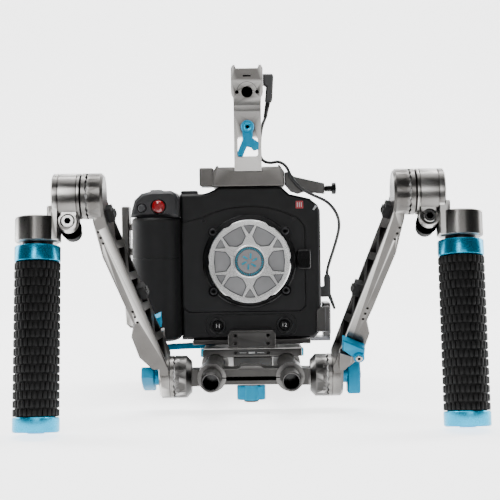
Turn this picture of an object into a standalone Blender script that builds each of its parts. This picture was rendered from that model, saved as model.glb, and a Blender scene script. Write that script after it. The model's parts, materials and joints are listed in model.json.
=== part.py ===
"""Cinema camera rig: a compact digital cinema camera on a rod base, with a top handle, and two
rosette arms that carry rubber grips. Millimetres in the design values, metres in the model.

Frame: +Z up, the lens looks along -Y, +X is on the right of someone facing the lens.
The origin is the middle of the base's flat underside, where a tripod plate bolts on.
"""

import math

import bmesh
import bpy
from mathutils import Matrix, Vector

MM = 0.001
FIT = 0.3  # clearance between two touching pieces

# ---------------------------------------------------------------- driving dimensions, millimetres
ROD_X, ROD_Z, ROD_R, ROD_BORE = 30.0, 12.0, 7.5, 6.1
ROD_FRONT, ROD_LENGTH = -167.0, 254.0
BASE_Y0, BASE_Y1, BASE_HALF = -45.0, 50.0, 41.5

ROSETTE_R = 16.3
LOWER_Y, LOWER_Z = -127.0, 11.8  # axis of the lower rosettes
UPPER_Y, UPPER_Z = -204.0, 150.2  # axis of the upper rosettes
ARM_LEAN = math.atan2(LOWER_Y - UPPER_Y, UPPER_Z - LOWER_Z)
ARM_LENGTH = math.hypot(LOWER_Y - UPPER_Y, UPPER_Z - LOWER_Z)
ARM_HALF_DEPTH = 12.5
LOWER_FACE, UPPER_FACE = 58.5, 112.8  # where the toothed faces meet

GRIP_X, GRIP_R, GRIP_TILT = 148.3, 16.0, math.radians(9.5)
GRIP_TOP, GRIP_COLLAR, GRIP_END, GRIP_BOTTOM = -34.7, -46.7, -154.0, -165.2
HEAD_TOP, HEAD_BOTTOM = -15.2, -33.0  # the ring that clamps the grip's stem
BARREL_IN, BARREL_OUT = 116.7, 137.4  # the barrel's two ends along X
SCREW_X, SCREW_Z, SCREW_TILT = 126.0, -20.8, math.radians(9.0)  # the barrel's clamping screw

CAM_BOTTOM, CAM_TOP = 31.5, 160.5
CAM_FRONT, CAM_BACK = -35.0, 75.0
CAM_LEFT, CAM_RIGHT = -58.0, 60.5
PANEL_FRONT, PANEL_BACK = -34.2, -31.8
LENS_Z, CAP_R, FLANGE_R, THROAT_R = 97.7, 35.0, 39.5, 27.0
HAND_LEFT, HAND_FRONT = -100.0, -64.0
BUTTON_XS, BUTTON_Z = (-27.6, 28.8), 43.0  # the two round buttons under the lens
RECORD_X, RECORD_Z = -74.7, 144.4
PHOTO_X, PHOTO_Z = -88.4, 143.4
SHOULDER_Z = 135.8  # where the grey control plate sits on the hand grip

TOP_PLATE_Z0, TOP_PLATE_Z1, TOP_PLATE_HALF = 160.8, 178.7, 30.6
POST_FRONT, POST_BACK = -42.0, -26.0
POST_Z0, POST_Z1, POST_HALF, HEAD_HALF = 173.6, 263.0, 11.5, 13.4
POST_LEVER_Z = 210.4

CABLE_D = 2.6

# ------------------------------------------------------------------------------ materials
FINISHES = {  # colour, metallic, roughness
    "titanium_grey": ((0.40, 0.39, 0.38), 1.0, 0.38),
    "dark_grey": ((0.10, 0.10, 0.105), 0.8, 0.45),
    "blue_anodised": ((0.0, 0.42, 0.65), 0.9, 0.28),
    "steel": ((0.75, 0.75, 0.74), 1.0, 0.2),
    "cap_silver": ((0.62, 0.62, 0.62), 0.9, 0.35),
    "camera_black": ((0.022, 0.022, 0.024), 0.0, 0.55),
    "camera_grey": ((0.10, 0.10, 0.10), 0.1, 0.5),
    "gloss_black": ((0.01, 0.01, 0.01), 0.0, 0.2),
    "rubber": ((0.015, 0.015, 0.015), 0.0, 0.8),
    "cable_black": ((0.02, 0.02, 0.02), 0.0, 0.45),
    "record_red": ((0.6, 0.02, 0.03), 0.0, 0.25),
}


def finish_material(name):
    """The named finish, made once."""
    if name in bpy.data.materials:
        return bpy.data.materials[name]
    colour, metallic, roughness = FINISHES[name]
    material = bpy.data.materials.new(name)
    material.use_nodes = True
    shader = material.node_tree.nodes["Principled BSDF"]
    shader.inputs["Base Color"].default_value = (*colour, 1.0)
    shader.inputs["Metallic"].default_value = metallic
    shader.inputs["Roughness"].default_value = roughness
    return material


# ------------------------------------------------------------------------------ shape helpers
AXES = {"X": (1, 2, 0), "Y": (0, 2, 1), "Z": (0, 1, 2)}


def to_point(a, b, h, axis):
    """Plane coordinates a, b and height h along the axis, as x, y, z."""
    point = [0.0, 0.0, 0.0]
    first, second, along = AXES[axis]
    point[first], point[second], point[along] = a, b, h
    return Vector(point)


def prism(outline, axis, low, high, bevel=0.0, segments=1):
    """A closed outline extruded along an axis; bevel rounds the rims of both ends."""
    shape = bmesh.new()
    ring = [shape.verts.new(to_point(a, b, low, axis)) for a, b in outline]
    shape.faces.new(ring)
    side = bmesh.ops.extrude_face_region(shape, geom=list(shape.faces))
    shift = to_point(0, 0, high - low, axis)
    moved = [item for item in side["geom"] if isinstance(item, bmesh.types.BMVert)]
    bmesh.ops.translate(shape, verts=moved, vec=shift)
    bmesh.ops.recalc_face_normals(shape, faces=shape.faces)
    if bevel:
        along = AXES[axis][2]
        rims = [e for e in shape.edges if abs(e.verts[0].co[along] - e.verts[1].co[along]) < 1e-6]
        bmesh.ops.bevel(shape, geom=rims, offset=bevel, segments=segments, profile=0.5,
                        affect="EDGES", clamp_overlap=True)
    return shape


def box(x0, x1, y0, y1, z0, z1, bevel=0.0):
    """A block between two corners, all of its edges bevelled alike."""
    shape = bmesh.new()
    bmesh.ops.create_cube(shape, size=1.0)
    size = Matrix.Diagonal((x1 - x0, y1 - y0, z1 - z0, 1.0))
    middle = Matrix.Translation(((x0 + x1) / 2, (y0 + y1) / 2, (z0 + z1) / 2))
    bmesh.ops.transform(shape, matrix=middle @ size, verts=shape.verts)
    if bevel:
        bmesh.ops.bevel(shape, geom=list(shape.edges), offset=bevel, segments=1, profile=0.5,
                        affect="EDGES")
    return shape


def span(a, b):
    """Two ends in rising order."""
    return min(a, b), max(a, b)


def circle(cx, cy, radius, count=24, turn=0.0):
    """Points of a circle, counter-clockwise."""
    step = 2 * math.pi / count
    return [(cx + radius * math.cos(turn + i * step), cy + radius * math.sin(turn + i * step))
            for i in range(count)]


def rod(cx, cy, radius, axis, low, high, count=20, bevel=0.0):
    """A cylinder along an axis through cx, cy of the plane across it."""
    return prism(circle(cx, cy, radius, count), axis, low, high, bevel)


def rounded(x0, x1, z0, z1, radius, steps=4):
    """A rectangle whose corners are arcs."""
    corners = ((x1 - radius, z1 - radius, 0), (x0 + radius, z1 - radius, 1),
               (x0 + radius, z0 + radius, 2), (x1 - radius, z0 + radius, 3))
    points = []
    for cx, cz, quarter in corners:
        for i in range(steps + 1):
            angle = (quarter + i / steps) * math.pi / 2
            points.append((cx + radius * math.cos(angle), cz + radius * math.sin(angle)))
    return points


def turned(profile, cx, cy, axis, count=32):
    """A turned piece: (radius, height) pairs from one end to the other, both ends closed flat."""
    shape = bmesh.new()
    rings = []
    for radius, height in profile:
        ring = [shape.verts.new(to_point(a, b, height, axis))
                for a, b in circle(cx, cy, radius, count)]
        rings.append(ring)
    for lower, upper in zip(rings, rings[1:]):
        for i in range(count):
            j = (i + 1) % count
            shape.faces.new((lower[i], lower[j], upper[j], upper[i]))
    shape.faces.new(rings[0])
    shape.faces.new(rings[-1])
    bmesh.ops.recalc_face_normals(shape, faces=shape.faces)
    return shape


def toothed(cx, cy, axis, back, face, teeth=20):
    """A rosette: a disc whose outer band carries radial teeth on the face side."""
    depth = 0.9 if face > back else -0.9
    shape = bmesh.new()
    count = teeth * 2
    outer = circle(cx, cy, ROSETTE_R, count)
    inner = circle(cx, cy, ROSETTE_R * 0.55, count)
    base = [shape.verts.new(to_point(a, b, back, axis)) for a, b in outer]
    rim = [shape.verts.new(to_point(a, b, face - (depth if i % 2 else 0), axis))
           for i, (a, b) in enumerate(outer)]
    root = [shape.verts.new(to_point(a, b, face - depth, axis)) for a, b in inner]
    for i in range(count):
        j = (i + 1) % count
        shape.faces.new((base[i], base[j], rim[j], rim[i]))
        shape.faces.new((rim[i], rim[j], root[j], root[i]))
    shape.faces.new(base)
    shape.faces.new(root)
    bmesh.ops.recalc_face_normals(shape, faces=shape.faces)
    return shape


def moved(shape, matrix):
    """The shape after a transform."""
    bmesh.ops.transform(shape, matrix=matrix, verts=shape.verts)
    return shape


# ------------------------------------------------------------------------------ object helpers
def make_object(name, shape):
    mesh = bpy.data.meshes.new(name)
    bmesh.ops.scale(shape, vec=(MM, MM, MM), verts=shape.verts)
    shape.to_mesh(mesh)
    shape.free()
    piece = bpy.data.objects.new(name, mesh)
    bpy.context.collection.objects.link(piece)
    return piece


def frame_at(name, x, y, z, tilt=0.0):
    """An empty on a joint's axis; its pieces are modelled from there. Tilt turns it about X."""
    empty = bpy.data.objects.new(name, None)
    bpy.context.collection.objects.link(empty)
    empty.location = (x * MM, y * MM, z * MM)
    empty.rotation_euler = (tilt, 0.0, 0.0)
    return empty


class Piece:
    """One sub-part: a first shape, then what is joined to it and what is cut from it."""

    def __init__(self, name, shape, finish, frame=None):
        self.body = make_object(name, shape)
        self.body.data.materials.append(finish_material(finish))
        self.body.parent = frame
        self.count = 0

    def tool(self, shape, operation):
        self.count += 1
        helper = make_object(f"{self.body.name}_tool_{self.count}", shape)
        helper.parent = self.body.parent
        helper.hide_render = True
        helper.display_type = "WIRE"
        step = self.body.modifiers.new(f"{operation.lower()}_{self.count}", "BOOLEAN")
        step.operation = operation
        step.object = helper
        return self

    def join(self, shape):
        return self.tool(shape, "UNION")

    def cut(self, *shapes):
        for shape in shapes:
            self.tool(shape, "DIFFERENCE")
        return self


def merged(*shapes):
    """Several separate shapes as one helper mesh, for a group of holes cut together."""
    result = bmesh.new()
    for shape in shapes:
        mesh = bpy.data.meshes.new("group")
        shape.to_mesh(mesh)
        shape.free()
        result.from_mesh(mesh)
        bpy.data.meshes.remove(mesh)
    return result


for old in list(bpy.data.objects):
    bpy.data.objects.remove(old)


# ------------------------------------------------------------------------------ camera
def make_camera():
    outline = [(CAM_LEFT, CAM_BOTTOM), (54, CAM_BOTTOM), (CAM_RIGHT, 38), (CAM_RIGHT, 139.5),
               (58.3, 144.5), (52, 149.8), (44, 151.8), (34.5, 154), (29.5, 158.8), (27, CAM_TOP),
               (-25, CAM_TOP), (-29, 158.6), (-34, 156.4), (-38, 155.2), (CAM_LEFT, 155.2)]
    body = Piece("camera_body", prism(outline, "Y", CAM_FRONT, CAM_BACK, bevel=2.0), "camera_black")
    for x in BUTTON_XS:
        body.join(rod(x, BUTTON_Z, 7.0, "Y", -36.0, -30.0, 24, bevel=0.5))
    panel = [(-57, 59), (-52, 54.6), (43, 54.6), (47.5, 59), (47.5, 126.5), (42, 133.5),
             (28, 139.5), (14, 143.2), (0, 144.2), (-14, 143.2), (-28, 140), (-42, 134.5),
             (-57, 131)]
    body.cut(prism(panel, "Y", CAM_FRONT - 3, PANEL_BACK + FIT - 0.6),
             rod(0, LENS_Z, THROAT_R + 0.6, "Y", -33, -14, 28),
             merged(*[rod(x, BUTTON_Z, 4.9, "Y", -38, -30, 20) for x in BUTTON_XS]),
             box(54, 62, 8, 68.6, 79, 139))
    middle = Vector((-5, 0, 98))
    inset = [(middle.x + (a - middle.x) * 0.994, middle.z + (b - middle.z) * 0.993)
             for a, b in panel]
    plate = Piece("front_panel", prism(inset, "Y", PANEL_FRONT, PANEL_BACK - 0.3), "camera_black")
    plate.cut(rod(0, LENS_Z, THROAT_R + 0.6, "Y", -40, -25, 28))
    Piece("image_sensor", box(-17, 17, -16.5, -14.4, LENS_Z - 11, LENS_Z + 11), "gloss_black")

    ring = Piece("lens_mount_ring", rod(0, LENS_Z, FLANGE_R, "Y", -40, -34.5, 36, bevel=0.8),
                 "gloss_black")
    for x in (-30.5, 30.5):
        for z in (LENS_Z - 25, LENS_Z + 25):
            ring.join(rod(x, z, 4.6, "Y", -41, -34.8, 12))
    ring.join(box(33, 39.9, -40.4, -35, LENS_Z - 6, LENS_Z + 8, bevel=0.6))
    ring.cut(rod(0, LENS_Z, THROAT_R - 0.5, "Y", -45, -30, 28))


def make_hand_grip():
    """The grip's plan is a round nose between two straight flanks."""
    nose = [(-79 + 19 * math.cos(math.radians(t)), -45 - 19 * math.sin(math.radians(t)))
            for t in range(15, 181, 15)]
    plan = [(-58.3, -37)] + nose + [(-98.6, -30), (HAND_LEFT, 20), (HAND_LEFT, 50), (-97, 60),
                                    (-90, 66), (-58.3, 68)]
    Piece("hand_grip", prism(plan, "Z", CAM_BOTTOM + 1, SHOULDER_Z - FIT, bevel=2.0),
          "camera_black")
    front = [(-98, SHOULDER_Z), (-97, 141.5), (-94.6, 150), (-89, 155.4), (-80, 157.6),
             (-64, 157.6), (-60, 155), (-58.3, 150), (-58.3, SHOULDER_Z)]
    plate = Piece("grip_control_plate", prism(front, "Y", -58, 50, bevel=2.5), "camera_grey")
    plate.cut(merged(rod(RECORD_X, RECORD_Z, 5.7, "Y", -62, -50, 24),
                     rod(PHOTO_X, PHOTO_Z, 3.3, "Y", -62, -50, 16)))


def make_camera_controls():
    Piece("record_button", turned([(5.3, -53), (5.3, -59.2), (4.6, -60.2), (2.6, -60.8)],
                                  0, 0, "Y", 24), "record_red",
          frame_at("record_axis", RECORD_X, 0, RECORD_Z))
    Piece("photo_button", turned([(3.0, -54), (3.0, -58.8), (2.4, -59.4)], 0, 0, "Y", 16),
          "camera_grey", frame_at("photo_axis", PHOTO_X, 0, PHOTO_Z))
    for side, x in zip(("left", "right"), BUTTON_XS):
        Piece(f"front_button_{side}", turned([(4.5, -31.6), (4.5, -36.2), (4.0, -36.8)],
                                             0, 0, "Y", 20), "gloss_black",
              frame_at(f"front_button_{side}_axis", x, 0, BUTTON_Z))
    tab = rounded(40.2, 51.8, LENS_Z - 7.5, LENS_Z + 9.5, 2.0, 3)
    Piece("lens_release", prism(tab, "Y", -41, -36.2, bevel=0.8), "gloss_black")
    monitor = Piece("monitor_panel", box(-6.2, -0.4, 0.4, 60.2, 79.5, 138.5, bevel=0.8),
                    "camera_black", frame_at("monitor_hinge", CAM_RIGHT, 8.0, 0))
    monitor.cut(box(-8, -5.4, 5, 56, 85, 133))


def pentagon_pocket(angle):
    """One of the six five-sided pockets of the cap, around the direction angle."""
    shape = [(15.6, -2.6), (19.5, -8.3), (29.0, -9.3), (29.8, 0.0), (29.0, 9.3), (19.5, 8.3),
             (15.6, 2.6)]
    c, s = math.cos(angle), math.sin(angle)
    return [(a * c - b * s, a * s + b * c) for a, b in shape]


def triangle_pocket(angle):
    shape = [(22.6, 0.0), (30.2, -4.8), (30.6, 0.0), (30.2, 4.8)]
    c, s = math.cos(angle), math.sin(angle)
    return [(a * c - b * s, a * s + b * c) for a, b in shape]


def make_lens_cap():
    hinge = frame_at("cap_axis", 0, 0, LENS_Z)
    cap = Piece("lens_cap", turned([(26.0, -35), (26.0, -41), (34.2, -41.3), (CAP_R, -42.1),
                                    (CAP_R, -46.2), (34.2, -47)], 0, 0, "Y", 42),
                "cap_silver", hinge)
    deep, front = -45.4, -50
    cap.cut(merged(*[prism(pentagon_pocket(math.radians(60 * i)), "Y", front, deep)
                     for i in range(6)]),
            merged(*[prism(triangle_pocket(math.radians(60 * i + 30)), "Y", front, deep)
                     for i in range(6)]),
            merged(*[rod(43.6 * math.cos(math.radians(60 * i)), 43.6 * math.sin(math.radians(60 * i)),
                         10.0, "Y", front, -40, 12) for i in range(6)]),
            prism(circle(0, 0, 11.8, 36), "Y", front, -46.5))


# ------------------------------------------------------------------------------ top and cable
def make_top():
    z0, z1, half = TOP_PLATE_Z0, TOP_PLATE_Z1, TOP_PLATE_HALF
    section = [(-half, z0), (half, z0), (half, z1 - 6), (half - 4, z1), (-half + 4, z1),
               (-half, z1 - 6)]
    plate = Piece("top_plate", prism(section, "Y", -38, 42, bevel=0.8), "titanium_grey")
    plate.join(box(-41.5, -half + 1, -34, 10, z0 + 0.7, z0 + 16.5, bevel=1.0))
    plate.cut(box(-POST_HALF - FIT, POST_HALF + FIT, -50, POST_BACK + FIT, POST_Z0 - FIT, z1 + 5),
              box(-16, 16, -20, 36, z1 - 4, z1 + 5),
              box(-half + 5.2, half - 5.2, -45, 45, z1 - 1.4, z1 + 5))

    head0 = 236.0
    front = [(-POST_HALF, POST_Z0), (POST_HALF, POST_Z0), (POST_HALF, head0 - 1),
             (HEAD_HALF, head0 + 3), (HEAD_HALF, POST_Z1 - 3), (11.6, POST_Z1), (10.4, POST_Z1),
             (9.2, POST_Z1 - 3), (-9.2, POST_Z1 - 3), (-10.4, POST_Z1), (-11.6, POST_Z1),
             (-HEAD_HALF, POST_Z1 - 3), (-HEAD_HALF, head0 + 3), (-POST_HALF, head0 - 1)]
    post = Piece("handle_post", prism(front, "Y", POST_FRONT, POST_BACK, bevel=0.6),
                 "titanium_grey")
    window = rounded(-8.6, 8.6, 186.0, 202.5, 2.0, 3)
    lower_face = POST_FRONT + 1.6
    step = [(-50, 150), (-50, 230), (POST_FRONT - 0.2, 230), (POST_FRONT + 0.2, 228.6),
            (lower_face - 0.3, 225.4), (lower_face, 223.6), (lower_face, 150)]
    post.cut(prism(window, "Y", -50, -20),
             prism(step, "X", -20, 20),
             rod(0, POST_LEVER_Z, 6.2, "Y", -50, -37, 28),
             merged(rod(0, 240.0, 4.8, "Y", -50, -30, 28), rod(-8.5, 240.0, 1.7, "Y", -50, -38, 12),
                    rod(8.5, 240.0, 1.7, "Y", -50, -38, 12)),
             box(-3.5, 3.5, -50, POST_FRONT + 1.0, 252.8, 254.2),
             box(-20, 20, -50, POST_FRONT + 0.4, 249.2, 249.8))
    grip_side = [(POST_BACK + FIT, 238), (-14, 235.5), (70, 235.5), (84, 239), (88, 246),
                 (84, 255), (74, 258.5), (POST_BACK + FIT, 259.5)]
    Piece("top_grip", prism(grip_side, "X", -12.4, 12.4, bevel=2.5), "titanium_grey")

    lever = Piece("post_lever", turned([(5.0, -37.3), (5.6, -38), (5.6, -46), (4.8, -47)],
                                       0, 0, "Y", 24), "blue_anodised",
                  frame_at("post_lever_axis", 0, 0, POST_LEVER_Z))
    lever.join(prism([(-4.4, 0), (-4.4, -11), (-8.9, -21.6), (-8.2, -24.4), (-4.4, -24.8),
                      (-0.8, -16.6), (2.4, -17.2), (5.0, -20.0), (9.0, -19.0), (9.4, -13.4),
                      (4.4, -9.4), (4.4, 0)], "Y", -46.4, -41.2, bevel=0.8))


def cable_bracket():
    arm = Piece("cable_arm", prism([(31.0, 162), (31.0, 172.5), (34, 172.5), (39, 168.6),
                                    (64.3, 162.6), (64.3, 153.6), (47, 155.6), (42, 154),
                                    (36, 156)], "Y", -37, -24, bevel=0.6), "dark_grey")
    arm.cut(rod(-30.5, 158.2, 2.2, "X", 58, 70, 12))
    Piece("cable_screw", turned([(1.9, 60.5), (1.9, 64.8), (2.6, 65), (2.6, 70.4),
                                 (5.0, 70.8), (5.0, 74), (4.4, 74.4)], 0, 0, "X", 20),
          "gloss_black", frame_at("cable_screw_axis", 0, -30.5, 158.2))


def side_clamp():
    clamp = Piece("side_clamp", box(62.6, 69.0, -24, 0, 33.2, 60.5, bevel=0.8), "dark_grey")
    clamp.join(box(62.8, 67.4, -39.4, -20, 36.4, 58.4, bevel=0.6))
    clamp.join(prism([(56.2, 37), (66, 37), (66, 58.2), (59.0, 58.2), (56.2, 55.4)], "Y",
                     -39.2, -36.4, bevel=0.5))
    clamp.join(box(62.8, 68.6, -22, -2, 29.0, 34.0))
    clamp.join(box(52.0, 68.6, -22, -2, 28.0, 31.0))


CABLE_ROUTE = [
    (17.5, -30.0, 231.6), (16.9, -28.8, 225.6), (15.2, -25.7, 219.5), (12.4, -22.6, 212.0),
    (10.7, -21.2, 202.0), (10.4, -20.8, 193.0), (11.0, -21.0, 186.0), (14.2, -22.4, 182.4),
    (19.5, -26.0, 181.0), (26.0, -31.6, 181.4), (31.8, -38.4, 177.4), (35.6, -41.0, 169.8),
    (40.0, -41.6, 163.0), (45.6, -42.0, 157.6), (52.0, -42.0, 153.8), (59.0, -41.8, 150.4),
    (65.0, -41.2, 147.4), (70.2, -40.0, 142.6), (74.2, -38.2, 136.4), (76.3, -35.6, 129.0),
    (75.8, -32.2, 121.0), (73.4, -27.4, 111.0), (70.6, -21.4, 101.0), (68.4, -15.6, 93.0),
    (67.2, -12.6, 87.4), (67.1, -12.0, 84.8),
]


def smooth_route(points, spacing):
    """Points about one spacing apart on a Catmull-Rom curve through the route."""
    ends = [Vector(points[0]) * 2 - Vector(points[1])]
    path = ends + [Vector(p) for p in points] + [Vector(points[-1]) * 2 - Vector(points[-2])]
    result = []
    for a, b, c, d in zip(path, path[1:], path[2:], path[3:]):
        steps = max(1, round((c - b).length / spacing))
        for i in range(steps):
            t = i / steps
            result.append(0.5 * (2 * b + (c - a) * t + (2 * a - 5 * b + 4 * c - d) * t * t
                                 + (3 * b - a - 3 * c + d) * t ** 3))
    result.append(Vector(points[-1]))
    return result


def make_cable():
    line = bpy.data.curves.new("trigger_cable", "CURVE")
    line.dimensions = "3D"
    line.bevel_depth = CABLE_D / 2 * MM
    line.bevel_resolution = 2
    line.use_fill_caps = True
    points = smooth_route(CABLE_ROUTE, CABLE_D * 2.6)
    spline = line.splines.new("POLY")
    spline.points.add(len(points) - 1)
    for slot, point in zip(spline.points, points):
        slot.co = (*(point * MM), 1.0)
    cable = bpy.data.objects.new("trigger_cable", line)
    bpy.context.collection.objects.link(cable)
    line.materials.append(finish_material("cable_black"))

    elbow = [(HEAD_HALF + FIT, 246.5), (16.2, 245.2), (15.0, 233.2), (15.6, 231.9), (20.4, 231.9),
             (21.4, 234), (22.6, 254), (21.4, 256), (HEAD_HALF + FIT, 256)]
    Piece("cable_plug_top", prism(elbow, "Y", -34.4, -25.6, bevel=1.2), "cable_black")
    side = [(60.8, 65), (60.8, 73.5), (64.4, 74.5), (64.4, 82), (65.6, 84.5), (68.7, 84.5),
            (69.9, 82), (69.9, 68), (74.2, 55), (72.4, 54), (67.8, 65)]
    Piece("cable_plug_side", prism(side, "Y", -16.2, -7.8, bevel=0.8), "cable_black")


# ------------------------------------------------------------------------------ base and rods
def make_base():
    plate = Piece("camera_plate", box(-49, 51, -38, 50, 27.2, 31.2, bevel=0.6), "titanium_grey")
    tab = [(-19, 25.0), (21, 25.0)] + rounded(-19, 21, 26, 39.5, 3.0, 3)[:8]
    plate.join(prism(tab, "Y", -45, -36.4, bevel=0.5))
    plate.cut(merged(*[rod(x, z, 1.5, "Y", -50, -34, 12) for x in (-12.6, 14.6) for z in (28.6, 35.4)]),
              box(44, 60, -30, 10, 20, 40))
    section = [(-40.7, 17.3), (43.2, 17.3), (43.2, 24.6), (40.2, 24.6), (30, 24.6), (-30, 24.6),
               (-38.7, 24.6), (-40.7, 22.6)]
    dovetail = Piece("dovetail_plate", prism(section, "Y", BASE_Y0, BASE_Y1, bevel=0.6),
                     "titanium_grey")
    dovetail.cut(merged(rod(-12.8, 20.8, 1.5, "Y", -50, -38, 12), rod(14.6, 20.8, 1.5, "Y", -50, -38, 12)),
                 box(-60, -30.5, -12, 20, 10, 30),
                 *[rod(x, ROD_Z, ROD_R + 2 * FIT, "Y", BASE_Y0 - 5, BASE_Y1 + 5, 28)
                   for x in (-ROD_X, ROD_X)])

    base = Piece("rod_base", box(-BASE_HALF, BASE_HALF, BASE_Y0, BASE_Y1, 0, 6, bevel=0.8),
                 "titanium_grey")
    base.join(box(-14.7, 17.7, BASE_Y0 + 0.5, BASE_Y1 - 0.5, 4, 17.0, bevel=0.5))
    for x in (-ROD_X, ROD_X):
        base.join(rod(x, ROD_Z, 11.5, "Y", BASE_Y0 + 1, BASE_Y0 + 26, 24, bevel=0.0))
        base.join(rod(x, ROD_Z, 11.5, "Y", BASE_Y1 - 26, BASE_Y1 - 1, 24, bevel=0.0))
    base.cut(*[rod(x, ROD_Z, ROD_R + FIT, "Y", BASE_Y0 - 5, BASE_Y1 + 5, 24)
               for x in (-ROD_X, ROD_X)],
             box(-80, 80, BASE_Y0 - 5, BASE_Y1 + 5, 17.0, 30),
             merged(rod(0, -20, 3.1, "Z", -5, 9, 16), rod(0, 20, 3.1, "Z", -5, 9, 16)))

    for side, x in (("left", -ROD_X), ("right", ROD_X)):
        tube = Piece(f"rod_{side}", prism(circle(x, ROD_Z, ROD_R, 28), "Y", ROD_FRONT,
                                          ROD_FRONT + ROD_LENGTH, bevel=0.5), "titanium_grey")
        tube.cut(rod(x, ROD_Z, ROD_BORE, "Y", ROD_FRONT - 5, ROD_FRONT + 220, 28))

    lever = Piece("base_lever", rod(0, 0, 4.6, "Z", 20.0, 26.6, 20, bevel=0.5), "blue_anodised",
                  frame_at("base_lever_axis", -36.0, 4.0, 0))
    sweep = [(-0.5, -4.4), (-16, -6.6), (-32, -12.5), (-40.5, -19), (-42, -17), (-33.5, -9.4),
             (-17, -2.6), (-0.5, 2.4)]
    lever.join(prism(sweep, "Z", 20.4, 25.6, bevel=0.7))


def make_front_bracket():
    y0, y1 = LOWER_Y - 10, LOWER_Y + 10
    bar = Piece("front_bracket", box(-40, 40, y0, y1, 6.0, 18.4, bevel=0.8), "titanium_grey")
    bar.join(prism([(-11, 18), (-7, 20.4), (7, 20.4), (11, 18), (11, 12), (-11, 12)], "Y",
                   y0 + 0.5, y1 - 0.5))
    for sign in (-1, 1):
        bar.join(rod(sign * ROD_X, ROD_Z, 11.0, "Y", y0 - 2, y1 + 2, 24))
        bar.join(box(*span(sign * 38, sign * 47), y0 + 1.5, y1 - 1.5, 5.2, 18.0))
        ends = [(sign * 55.2, ROSETTE_R), (sign * 49.4, ROSETTE_R), (sign * 45.6, 12.2)]
        bar.join(turned([(r, x) for x, r in ends], LOWER_Y, LOWER_Z, "X", 28))
        bar.join(toothed(LOWER_Y, LOWER_Z, "X", sign * 54.8, sign * (LOWER_FACE - 0.15)))
    bar.cut(*[rod(sign * ROD_X, ROD_Z, ROD_R + FIT, "Y", y0 - 10, y1 + 10, 24)
              for sign in (-1, 1)],
            box(-24, 24, y0 - 5, y1 + 5, 11.3, 12.2),
            rod(0, LOWER_Y, 3.0, "Z", -5, 16, 20))
    knob = Piece("bracket_knob", turned([(5.2, -7.6), (5.2, -6.7), (6.8, -6.6), (6.8, 5.2),
                                         (2.6, 5.4), (2.6, 14)], 0, 0, "Z", 24),
                 "blue_anodised", frame_at("bracket_knob_axis", 0, LOWER_Y, 0))
    knob.join(prism(rounded(-11, 11, -4.6, 4.6, 3.5, 3), "Z", -6.4, 4.6, bevel=0.6))


# ------------------------------------------------------------------------------ arms and grips
def arm_outline(sign):
    """Front view of an arm: outward distance and height above the lower rosette."""
    inner = [(62.2, -8), (62.2, 16), (99.6, 141), (101.6, 150), (101.6, 166)]
    outer = [(109.6, 166), (109.6, 144), (105.0, 115), (94.5, 82), (89.5, 66), (86.2, 57),
             (88.8, 46), (84, 27), (74.5, 15.7), (70.2, 15.7), (70.2, -8)]
    return [(sign * a, b) for a, b in inner + outer]


def truss_pockets(sign):
    """Triangular pockets along the inner face, pointing up and down in turn."""
    shapes = []
    slope = (99.6 - 62.2) / (141 - 16)
    start, pitch, half, wall, count = 22.0, 13.4, 9.4, 1.6, 8
    for i in range(count):
        low = start + i * pitch
        high = low + pitch * 1.55
        flip = 1 if i % 2 else -1
        outline = [(-half * flip, low + wall), (-half * flip, high - wall), (half * flip * 0.75,
                   (low + high) / 2)]
        inner_x = 62.2 + ((low + high) / 2 - 16) * slope
        pocket = prism(outline, "X", -9.0, 6.2 if i < count - 1 else 4.0)
        turn = Matrix.Rotation(math.atan(slope) * sign, 4, "Y")
        centre = Matrix.Translation((sign * inner_x, 0, (low + high) / 2))
        back = Matrix.Translation((0, 0, -(low + high) / 2))
        if sign < 0:
            pocket = moved(pocket, Matrix.Rotation(math.pi, 4, "Z"))
        shapes.append(moved(pocket, centre @ turn @ back))
    return merged(*shapes)


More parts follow.
